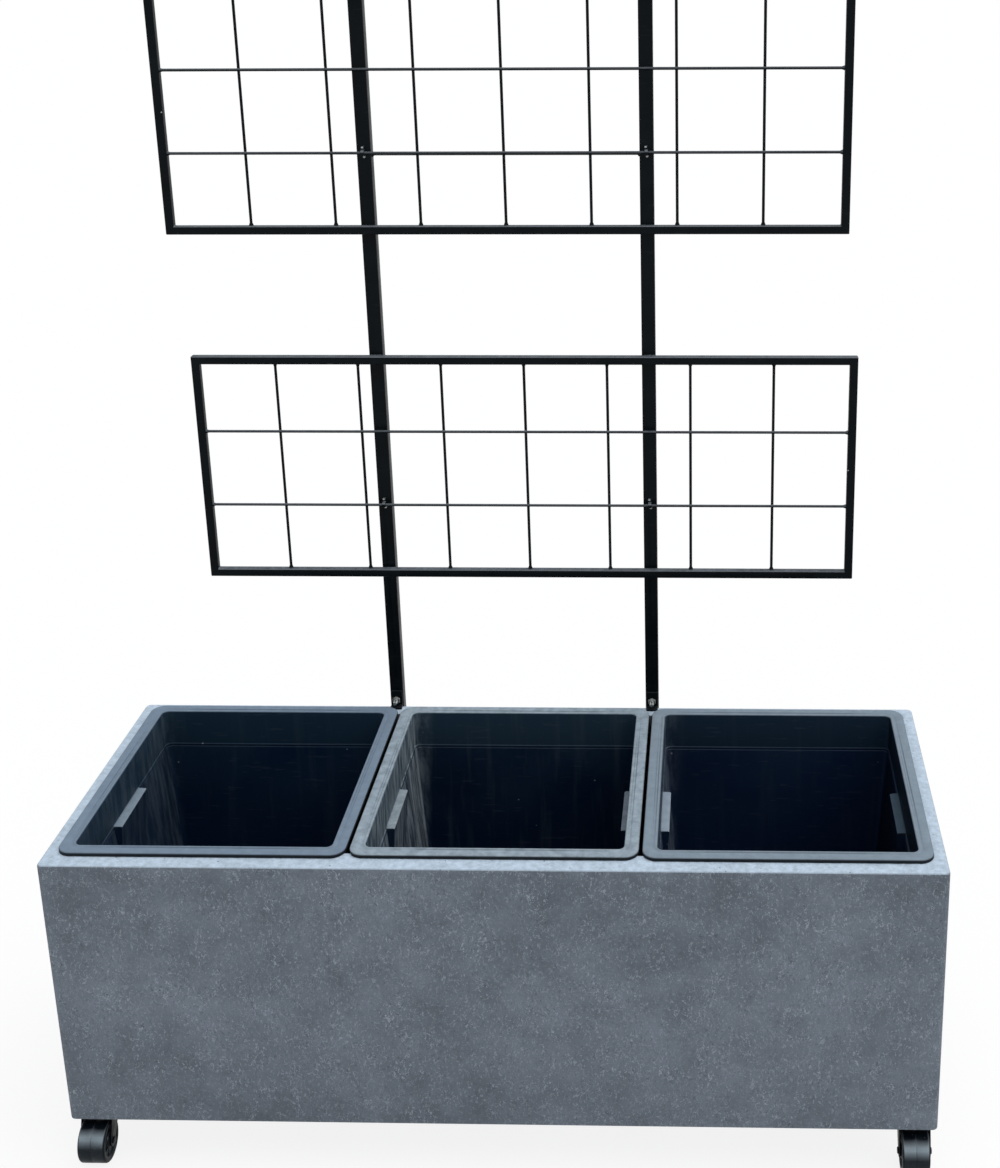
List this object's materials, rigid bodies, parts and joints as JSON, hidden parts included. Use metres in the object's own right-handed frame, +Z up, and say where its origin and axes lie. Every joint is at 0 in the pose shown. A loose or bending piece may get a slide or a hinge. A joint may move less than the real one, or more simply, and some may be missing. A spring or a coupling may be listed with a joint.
{
  "type": "trellis planter on wheels",
  "caption": "Long low planter trough with separate lift-out liners, a black steel wire trellis on two posts behind it, and swivel casters under its corners.",
  "frame": {"origin": "on the floor, below the middle of the whole object's box", "axes": "+Z up, +X to the right seen from the front, -Y towards the front, so the trellis is at the +Y side"},
  "size_m": [1.2, 0.4912, 1.5863],
  "materials": {
    "stone_composite": "matt blue-grey fibre and stone composite with fine pale flecks",
    "liner_plastic": "anthracite, lightly dusty",
    "black_steel": "satin black powder coat",
    "cap_plastic": "black moulded caps",
    "zinc_steel": "bright zinc plated",
    "caster_steel": "black",
    "wheel_rubber": "dark grey tread"
  },
  "bodies": {
    "planter": {"planter_box": "stone_composite", "rim_ledge": "stone_composite", "post_left": "black_steel", "post_cap_left": "cap_plastic", "rim_bracket_left": "black_steel", "bracket_bolt_left": "zinc_steel", "wall_bolt_left_upper": "zinc_steel", "wall_bolt_left_lower": "zinc_steel", "post_right": "black_steel", "post_cap_right": "cap_plastic", "rim_bracket_right": "black_steel", "bracket_bolt_right": "zinc_steel", "wall_bolt_right_upper": "zinc_steel", "wall_bolt_right_lower": "zinc_steel", "tie_rod": "black_steel", "panel_frame_lower": "black_steel", "panel_frame_upper": "black_steel", "lower_cross_wire_1": "black_steel", "lower_cross_wire_2": "black_steel", "lower_upright_wire_1": "black_steel", "lower_upright_wire_2": "black_steel", "lower_upright_wire_3": "black_steel", "lower_upright_wire_4": "black_steel", "lower_upright_wire_5": "black_steel", "lower_upright_wire_6": "black_steel", "lower_upright_wire_7": "black_steel", "upper_cross_wire_1": "black_steel", "upper_cross_wire_2": "black_steel", "upper_upright_wire_1": "black_steel", "upper_upright_wire_2": "black_steel", "upper_upright_wire_3": "black_steel", "upper_upright_wire_4": "black_steel", "upper_upright_wire_5": "black_steel", "upper_upright_wire_6": "black_steel", "upper_upright_wire_7": "black_steel", "wire_clip_lower_left": "black_steel", "wire_clip_lower_right": "black_steel", "wire_clip_upper_left": "black_steel", "wire_clip_upper_right": "black_steel", "caster_plate_front_left": "caster_steel", "caster_plate_front_right": "caster_steel", "caster_plate_rear_left": "caster_steel", "caster_plate_rear_right": "caster_steel"},
    "liner_left": {"liner_left": "liner_plastic"},
    "liner_middle": {"liner_middle": "liner_plastic"},
    "liner_right": {"liner_right": "liner_plastic"},
    "caster_front_left_fork": {"caster_fork_front_left": "caster_steel", "caster_axle_front_left": "caster_steel"},
    "caster_front_left_wheel": {"caster_wheel_front_left": "wheel_rubber"},
    "caster_front_right_fork": {"caster_fork_front_right": "caster_steel", "caster_axle_front_right": "caster_steel"},
    "caster_front_right_wheel": {"caster_wheel_front_right": "wheel_rubber"},
    "caster_rear_left_fork": {"caster_fork_rear_left": "caster_steel", "caster_axle_rear_left": "caster_steel"},
    "caster_rear_left_wheel": {"caster_wheel_rear_left": "wheel_rubber"},
    "caster_rear_right_fork": {"caster_fork_rear_right": "caster_steel", "caster_axle_rear_right": "caster_steel"},
    "caster_rear_right_wheel": {"caster_wheel_rear_right": "wheel_rubber"}
  },
  "joints": [
    {"name": "liner_left_lift", "type": "slide", "parent": "planter", "child": "liner_left", "axis": [0, 0, 1], "range_m": [0, 0.36]},
    {"name": "liner_middle_lift", "type": "slide", "parent": "planter", "child": "liner_middle", "axis": [0, 0, 1], "range_m": [0, 0.36]},
    {"name": "liner_right_lift", "type": "slide", "parent": "planter", "child": "liner_right", "axis": [0, 0, 1], "range_m": [0, 0.36]},
    {"name": "caster_front_left_swivel", "type": "hinge", "parent": "planter", "child": "caster_front_left_fork", "pos_m": [-0.571, -0.18955, 0.065], "axis": [0, 0, 1], "continuous": true},
    {"name": "caster_front_left_spin", "type": "hinge", "parent": "caster_front_left_fork", "child": "caster_front_left_wheel", "pos_m": [-0.571, -0.21555, 0.03], "axis": [1, 0, 0], "continuous": true},
    {"name": "caster_front_right_swivel", "type": "hinge", "parent": "planter", "child": "caster_front_right_fork", "pos_m": [0.571, -0.18955, 0.065], "axis": [0, 0, 1], "continuous": true},
    {"name": "caster_front_right_spin", "type": "hinge", "parent": "caster_front_right_fork", "child": "caster_front_right_wheel", "pos_m": [0.571, -0.21555, 0.03], "axis": [1, 0, 0], "continuous": true},
    {"name": "caster_rear_left_swivel", "type": "hinge", "parent": "planter", "child": "caster_rear_left_fork", "pos_m": [-0.571, 0.18045, 0.065], "axis": [0, 0, 1], "continuous": true},
    {"name": "caster_rear_left_spin", "type": "hinge", "parent": "caster_rear_left_fork", "child": "caster_rear_left_wheel", "pos_m": [-0.571, 0.15445, 0.03], "axis": [1, 0, 0], "continuous": true},
    {"name": "caster_rear_right_swivel", "type": "hinge", "parent": "planter", "child": "caster_rear_right_fork", "pos_m": [0.571, 0.18045, 0.065], "axis": [0, 0, 1], "continuous": true},
    {"name": "caster_rear_right_spin", "type": "hinge", "parent": "caster_rear_right_fork", "child": "caster_rear_right_wheel", "pos_m": [0.571, 0.15445, 0.03], "axis": [1, 0, 0], "continuous": true}
  ]
}
